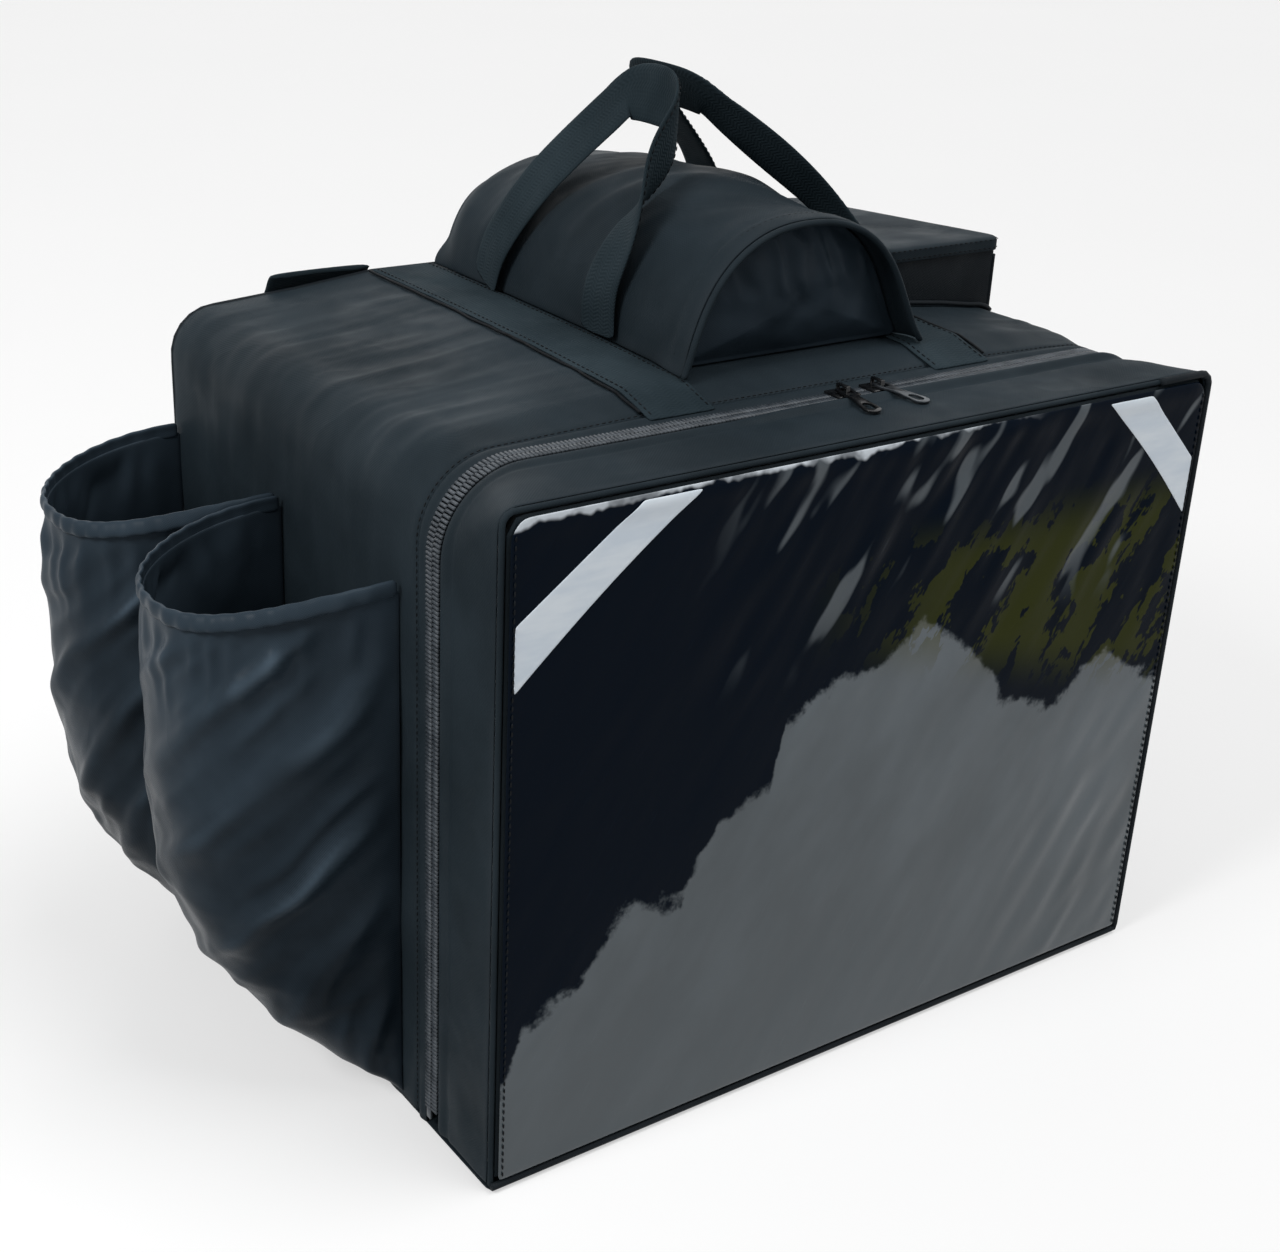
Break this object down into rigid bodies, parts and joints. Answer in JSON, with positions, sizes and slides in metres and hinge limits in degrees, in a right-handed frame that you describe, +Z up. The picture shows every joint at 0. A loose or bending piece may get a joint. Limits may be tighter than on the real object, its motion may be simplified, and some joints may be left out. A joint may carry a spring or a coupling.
{
  "type": "food delivery backpack",
  "caption": "Square insulated food delivery backpack with a zipped front door, clear window, top pouches, webbing handles, gathered side pockets and padded shoulder straps.",
  "frame": {"origin": "middle of the rectangle of cloth that the bag stands on, at floor height", "axes": "+Z up; -Y out of the front door's face; +X to the right as seen from the front; the straps are on the +Y side"},
  "size_m": [0.6546, 0.4135, 0.5028],
  "materials": {
    "nylon": "charcoal coated nylon, fine plain weave, semi-matte",
    "satin": "thin dark nylon with a satin sheen, gathered",
    "webbing": "ribbed black polypropylene webbing",
    "foam": "closed-cell foam sheet, out of sight between cloth and lining",
    "lining": "silver foil-faced cloth",
    "vinyl": "clear flexible vinyl sheet over black cloth, glossy and wavy",
    "reflector": "grey reflective tape",
    "coil": "black nylon coil",
    "zip_metal": "gunmetal plating, worn at the edges",
    "plastic": "black moulded acetal",
    "mesh": "black spacer mesh over foam"
  },
  "bodies": {
    "bag": {"body_wrap": "nylon", "bottom_panel": "nylon", "back_panel": "nylon", "foam_bottom": "foam", "foam_left": "foam", "foam_right": "foam", "foam_top": "foam", "foam_back": "foam", "lining": "lining", "zip_tape_body": "webbing", "zip_coil_body": "coil", "zip_stop_left": "zip_metal", "zip_stop_right": "zip_metal", "tunnel_shell": "nylon", "tunnel_hem": "nylon", "tunnel_flap": "satin", "tunnel_back": "nylon", "pouch_box": "nylon", "pouch_piping": "nylon", "top_webbing_left": "webbing", "top_webbing_right": "webbing", "pocket_left_front": "satin", "pocket_left_rear": "satin", "pocket_right_front": "satin", "pocket_right_rear": "satin", "pocket_hem_left_front": "satin", "pocket_hem_left_rear": "satin", "pocket_hem_right_front": "satin", "pocket_hem_right_rear": "satin", "back_pad": "mesh", "strap_root_left": "webbing", "strap_root_right": "webbing", "webbing_anchor_left": "webbing", "webbing_anchor_right": "webbing", "lower_webbing_left": "webbing", "lower_webbing_right": "webbing"},
    "door": {"door_gusset": "nylon", "door_face": "nylon", "door_foam": "foam", "door_lining": "lining", "window": "vinyl", "face_piping": "nylon", "reflector_left": "reflector", "reflector_right": "reflector", "zip_tape_door": "webbing", "zip_coil_door": "coil"},
    "slider_left": {"slider_left": "zip_metal"},
    "slider_right": {"slider_right": "zip_metal"},
    "slider_low": {"slider_low": "zip_metal"},
    "pull_left": {"pull_left": "zip_metal"},
    "pull_right": {"pull_right": "zip_metal"},
    "pull_low": {"pull_low": "zip_metal"},
    "handle_left": {"handle_left": "webbing"},
    "handle_right": {"handle_right": "webbing"},
    "pouch_lid": {"pouch_lid": "nylon"},
    "strap_left": {"strap_left": "mesh"},
    "strap_right": {"strap_right": "mesh"},
    "ladder_lock_left": {"ladder_lock_left": "plastic"},
    "ladder_lock_right": {"ladder_lock_right": "plastic"}
  },
  "joints": [
    {"name": "door_open", "type": "hinge", "parent": "bag", "child": "door", "pos_m": [0, -0.175, 0], "axis": [1, 0, 0], "range_deg": [0, 90]},
    {"name": "slider_left_run", "type": "slide", "parent": "door", "child": "slider_left", "axis": [1, 0, 0], "range_m": [-0.18, 0]},
    {"name": "slider_right_run", "type": "slide", "parent": "door", "child": "slider_right", "axis": [1, 0, 0], "range_m": [0, 0.14]},
    {"name": "slider_low_run", "type": "slide", "parent": "door", "child": "slider_low", "axis": [0, 0, 1], "range_m": [0, 0.27]},
    {"name": "pull_left_flip", "type": "hinge", "parent": "slider_left", "child": "pull_left", "pos_m": [0.01, -0.118, 0.3637], "axis": [-0.9877, 0.1564, 0], "range_deg": [0, 160]},
    {"name": "pull_right_flip", "type": "hinge", "parent": "slider_right", "child": "pull_right", "pos_m": [0.033, -0.118, 0.3637], "axis": [-0.9816, -0.1908, 0], "range_deg": [0, 160]},
    {"name": "pull_low_flip", "type": "hinge", "parent": "slider_low", "child": "pull_low", "pos_m": [0.2287, -0.118, 0.034], "axis": [0, -1, 0], "range_deg": [-3, 160]},
    {"name": "handle_left_fold", "type": "hinge", "parent": "bag", "child": "handle_left", "pos_m": [-0.0643, 0, 0.3721], "axis": [0, -1, 0], "range_deg": [0, 50]},
    {"name": "handle_right_fold", "type": "hinge", "parent": "bag", "child": "handle_right", "pos_m": [0.093, 0, 0.372], "axis": [0, 1, 0], "range_deg": [0, 35]},
    {"name": "pouch_lid_open", "type": "hinge", "parent": "bag", "child": "pouch_lid", "pos_m": [0.168, 0.1743, 0.37755], "axis": [-1, 0, 0], "range_deg": [0, 100]},
    {"name": "strap_left_swing", "type": "hinge", "parent": "bag", "child": "strap_left", "pos_m": [-0.133, 0.2013, 0.334], "axis": [1, 0, 0], "range_deg": [0, 15]},
    {"name": "strap_right_swing", "type": "hinge", "parent": "bag", "child": "strap_right", "pos_m": [0.133, 0.2013, 0.334], "axis": [1, 0, 0], "range_deg": [0, 15]},
    {"name": "lock_left_tilt", "type": "hinge", "parent": "strap_left", "child": "ladder_lock_left", "pos_m": [-0.112, 0.2013, 0.1083], "axis": [1, 0, 0], "range_deg": [0, 30]},
    {"name": "lock_right_tilt", "type": "hinge", "parent": "strap_right", "child": "ladder_lock_right", "pos_m": [0.112, 0.2013, 0.1083], "axis": [1, 0, 0], "range_deg": [0, 30]}
  ]
}
